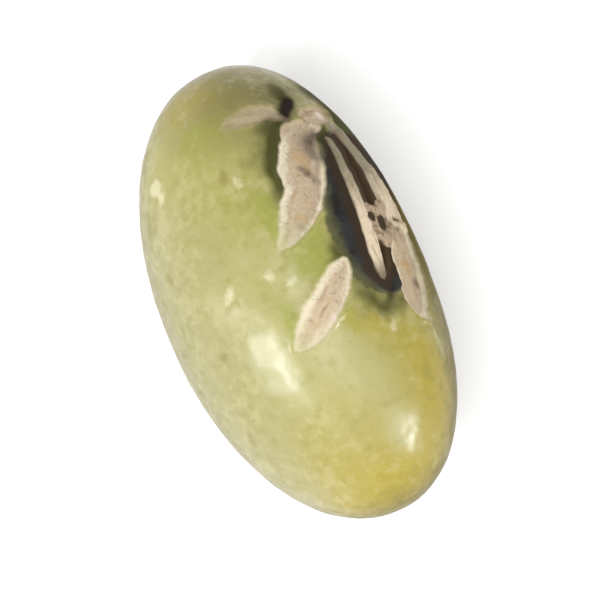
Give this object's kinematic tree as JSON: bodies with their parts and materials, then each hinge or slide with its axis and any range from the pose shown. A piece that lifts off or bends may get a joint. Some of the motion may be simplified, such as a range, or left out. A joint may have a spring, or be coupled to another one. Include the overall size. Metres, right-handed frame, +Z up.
{
  "type": "roasted edamame bean",
  "caption": "Oval green roasted soybean with a dark eye and torn tan patches in its skin, lying on its side; a loose bean to eat, scatter or heap.",
  "frame": {"origin": "on the surface that the bean rests on, under the middle of its bounding box", "axes": "+X along the bean, towards the end nearer its eye; -Y to the side that its eye looks to; +Z up from the surface"},
  "size_m": [0.0126, 0.007, 0.0068],
  "materials": {
    "seed_coat": "satin green seed coat, with a black eye and tan torn skin"
  },
  "bodies": {
    "root": {"bean": "seed_coat"}
  },
  "joints": []
}
